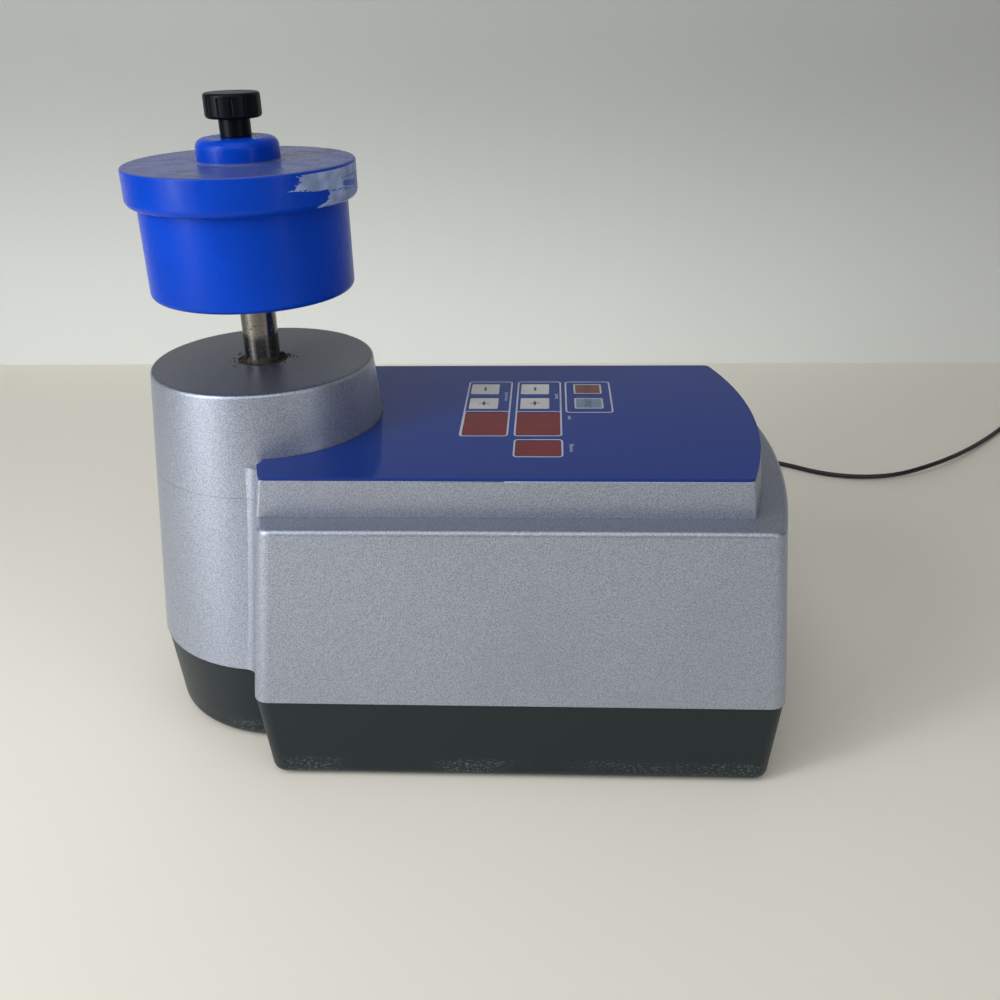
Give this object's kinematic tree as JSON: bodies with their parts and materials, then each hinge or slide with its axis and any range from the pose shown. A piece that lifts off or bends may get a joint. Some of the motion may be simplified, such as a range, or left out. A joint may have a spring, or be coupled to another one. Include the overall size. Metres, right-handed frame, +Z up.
{
  "type": "analytical lab mill",
  "caption": "Analytical lab mill: a closed grinding drum with clamp knob on a spindle tower, belt drive and keypad box.",
  "frame": {"origin": "on the standing surface, under the middle of the mill without its mains lead", "axes": "+Z up, +X from the spindle tower along the box to its keypad end, -Y towards the side the picture shows"},
  "size_m": [0.9328, 0.6852, 0.4345],
  "materials": {
    "silver_paint": "fine-grained metallic textured paint",
    "tray_plastic": "satin",
    "rubber_black": "matt",
    "screw_steel": "zinc-plated",
    "panel_blue": "gloss",
    "key_grey": "matt",
    "key_red": "matt",
    "key_blue": "matt",
    "window_red": "gloss, tinted",
    "display_black": "matt",
    "board_green": "solder mask",
    "switch_black": "matt",
    "ribbon_grey": "matt",
    "chassis_aluminium": "milled",
    "cast_grey": "cast",
    "shaft_steel": "ground, with rust specks",
    "bearing_steel": "ground",
    "spring_steel": "oiled",
    "pulley_aluminium": "machined",
    "belt_rubber": "matt",
    "motor_paint": "satin",
    "core_steel": "laminated",
    "bush_bronze": "sintered",
    "fan_plastic": "matt",
    "transformer_tape": "matt",
    "sink_aluminium": "black anodised",
    "capacitor_sleeve": "gloss",
    "terminal_green": "gloss",
    "drum_blue": "satin gloss",
    "gasket_rubber": "matt",
    "seal_felt": "matt",
    "knob_black": "satin",
    "insert_brass": "machined",
    "cord_black": "satin",
    "plug_black": "satin"
  },
  "bodies": {
    "casing": {"base_tray": "tray_plastic", "bearing_housing": "cast_grey", "bearing_outer_rings": "bearing_steel", "board_screws": "screw_steel", "board_standoffs": "screw_steel", "casing_screws": "screw_steel", "chassis_plate": "chassis_aluminium", "chassis_screws": "screw_steel", "control_board": "board_green", "control_panel": "panel_blue", "cord": "cord_black", "cord_coil": "cord_black", "cord_gland": "rubber_black", "display_board": "board_green", "display_modules": "display_black", "drive_belt": "belt_rubber", "filter_capacitors": "capacitor_sleeve", "foot_screws": "screw_steel", "heat_sink": "sink_aluminium", "housing_bolts": "screw_steel", "key_switches": "switch_black", "motor_bolts": "screw_steel", "motor_bushes": "bush_bronze", "motor_end_cap": "motor_paint", "motor_housing": "motor_paint", "motor_stator": "core_steel", "plug": "plug_black", "retaining_ring": "spring_steel", "ribbon_cable": "ribbon_grey", "rubber_feet": "rubber_black", "shaft_seal": "seal_felt", "speed_window": "window_red", "status_window": "window_red", "terminal_block": "terminal_green", "time_window": "window_red", "transformer": "transformer_tape", "upper_housing": "silver_paint"},
    "spindle": {"drive_shaft": "shaft_steel", "distance_tube": "core_steel", "pulley_feather_key": "core_steel", "pulley_bolt": "screw_steel", "driven_pulley": "pulley_aluminium", "bearing_inner_rings": "bearing_steel", "drum_pot": "drum_blue", "drum_nut": "screw_steel", "tie_rod": "shaft_steel", "lid_gasket": "gasket_rubber"},
    "motor_rotor_body": {"motor_rotor": "core_steel", "motor_pulley": "pulley_aluminium", "cooling_fan": "fan_plastic"},
    "lid": {"drum_lid": "drum_blue"},
    "knob_carrier": {"knob_washer": "screw_steel"},
    "knob": {"clamp_knob": "knob_black", "knob_insert": "insert_brass"},
    "time_minus_key": {"time_minus_key": "key_grey"},
    "time_plus_key": {"time_plus_key": "key_grey"},
    "speed_minus_key": {"speed_minus_key": "key_grey"},
    "speed_plus_key": {"speed_plus_key": "key_grey"},
    "stop_key": {"stop_key": "key_red"},
    "start_key": {"start_key": "key_blue"}
  },
  "joints": [
    {"name": "shaft_spin", "type": "hinge", "parent": "casing", "child": "spindle", "pos_m": [-0.13805, 0, 0.2], "axis": [0, 0, 1], "continuous": true, "deforming": ["drive_belt"]},
    {"name": "motor_spin", "type": "hinge", "parent": "casing", "child": "motor_rotor_body", "pos_m": [0.02696, 0, 0.1], "axis": [0, 0, 1], "continuous": true},
    {"name": "lid_lift", "type": "slide", "parent": "spindle", "child": "lid", "axis": [0, 0, 1], "range_m": [0, 0.06]},
    {"name": "knob_rise", "type": "slide", "parent": "lid", "child": "knob_carrier", "axis": [0, 0, 1], "range_m": [0, 0.0121]},
    {"name": "knob_turn", "type": "hinge", "parent": "knob_carrier", "child": "knob", "pos_m": [-0.13805, 0, 0.415], "axis": [0, 0, 1], "range_deg": [0, 2880]},
    {"name": "time_minus_press", "type": "slide", "parent": "casing", "child": "time_minus_key", "axis": [0, 0, -1], "range_m": [0, 0.0005], "stiffness_N_per_m": 2000},
    {"name": "time_plus_press", "type": "slide", "parent": "casing", "child": "time_plus_key", "axis": [0, 0, -1], "range_m": [0, 0.0005], "stiffness_N_per_m": 2000},
    {"name": "speed_minus_press", "type": "slide", "parent": "casing", "child": "speed_minus_key", "axis": [0, 0, -1], "range_m": [0, 0.0005], "stiffness_N_per_m": 2000},
    {"name": "speed_plus_press", "type": "slide", "parent": "casing", "child": "speed_plus_key", "axis": [0, 0, -1], "range_m": [0, 0.0005], "stiffness_N_per_m": 2000},
    {"name": "stop_press", "type": "slide", "parent": "casing", "child": "stop_key", "axis": [0, 0, -1], "range_m": [0, 0.0005], "stiffness_N_per_m": 2000},
    {"name": "start_press", "type": "slide", "parent": "casing", "child": "start_key", "axis": [0, 0, -1], "range_m": [0, 0.0005], "stiffness_N_per_m": 2000}
  ],
  "couplings": [
    {"joint": "motor_spin", "follows": "shaft_spin", "ratio": 2.5},
    {"joint": "knob_rise", "follows": "knob_turn", "m_per_rad": 0.00023873}
  ]
}
